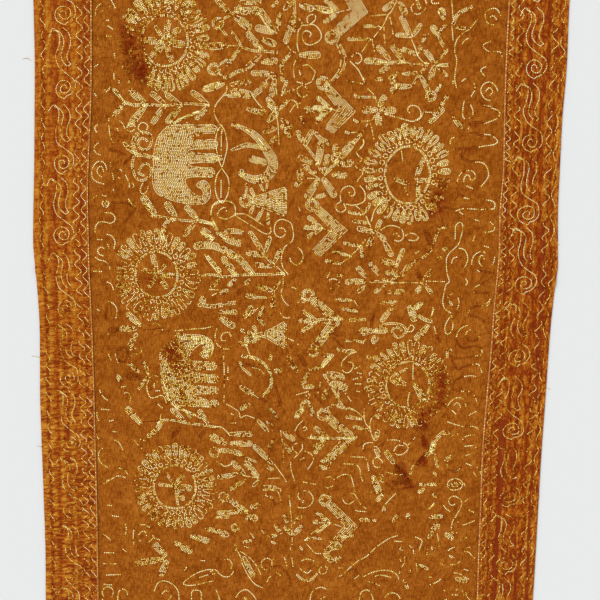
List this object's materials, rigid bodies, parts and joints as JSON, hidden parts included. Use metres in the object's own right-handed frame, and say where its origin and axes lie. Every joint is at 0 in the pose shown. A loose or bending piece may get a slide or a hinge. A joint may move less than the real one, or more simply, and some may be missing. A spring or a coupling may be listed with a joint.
{
  "type": "aari embroidered tablecloth",
  "caption": "Rectangular silk tablecloth laid out face up: an embroidered centre panel with a puckered, embroidered border sewn down each long side.",
  "frame": {"origin": "middle of the cloth on its underside, on the cross fold", "axes": "+Y along the length, +X across the width towards the right border, +Z out of the embroidered side"},
  "size_m": [0.872, 1.36, 0.0065],
  "materials": {
    "panel_silk": "plain woven copper-orange silk with a soft lengthwise sheen",
    "border_silk": "puckered shot silk, ochre on the ridges and red-brown in the troughs",
    "gold_thread": "lustrous pale gold embroidery thread in chain stitch"
  },
  "bodies": {
    "root": {"field_panel": "panel_silk", "border_left": "border_silk", "border_right": "border_silk"}
  },
  "joints": []
}
